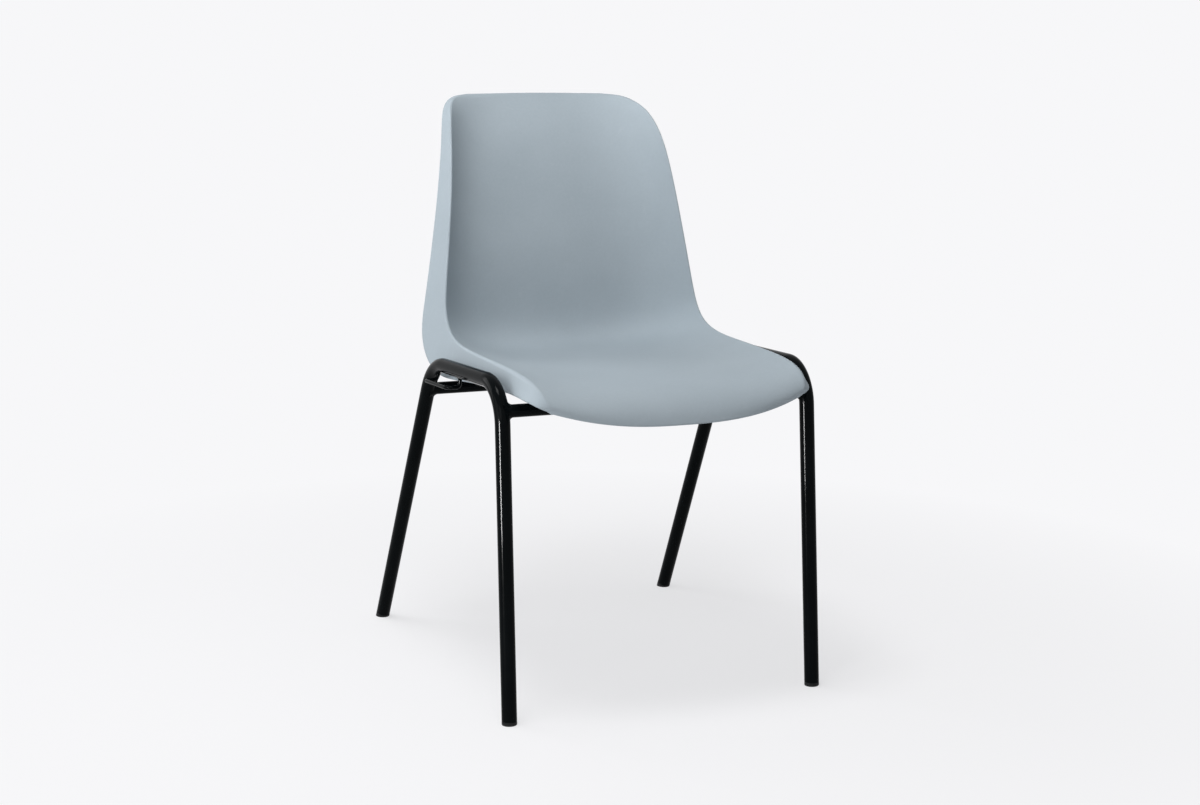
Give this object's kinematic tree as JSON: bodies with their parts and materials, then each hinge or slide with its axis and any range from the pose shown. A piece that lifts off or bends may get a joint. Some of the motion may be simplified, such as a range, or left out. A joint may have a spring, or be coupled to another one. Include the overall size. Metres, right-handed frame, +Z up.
{
  "type": "choir chair",
  "caption": "Stacking side chair: one moulded bucket shell on two bent steel hoops joined by crossbars, with a wire eye and a wire hook for linking chairs in a row.",
  "frame": {"origin": "on the floor, midway between the front lip of the seat and the heels of the rear feet, on the chair's middle plane", "axes": "+X across the chair to the sitter's left, +Y from the front of the seat towards the back, +Z up"},
  "size_m": [0.4976, 0.5802, 0.7803],
  "materials": {
    "shell": "blue-grey polypropylene, fine moulded grain with a satin sheen",
    "paint": "gloss black powder coat on steel",
    "foot_plug": "black moulded plastic",
    "zinc": "bright zinc plate",
    "saddle_washer": "black moulded plastic",
    "insert_brass": "turned brass"
  },
  "bodies": {
    "root": {"seat_shell": "shell", "left_hoop": "paint", "right_hoop": "paint", "front_crossbar": "paint", "rear_crossbar": "paint", "link_loop": "paint", "link_hook": "paint", "front_left_foot": "foot_plug", "front_right_foot": "foot_plug", "rear_left_foot": "foot_plug", "rear_right_foot": "foot_plug", "front_left_screw": "zinc", "front_right_screw": "zinc", "rear_left_screw": "zinc", "rear_right_screw": "zinc", "front_left_washer": "saddle_washer", "front_right_washer": "saddle_washer", "rear_left_washer": "saddle_washer", "rear_right_washer": "saddle_washer", "front_left_insert": "insert_brass", "front_right_insert": "insert_brass", "rear_left_insert": "insert_brass", "rear_right_insert": "insert_brass"}
  },
  "joints": []
}
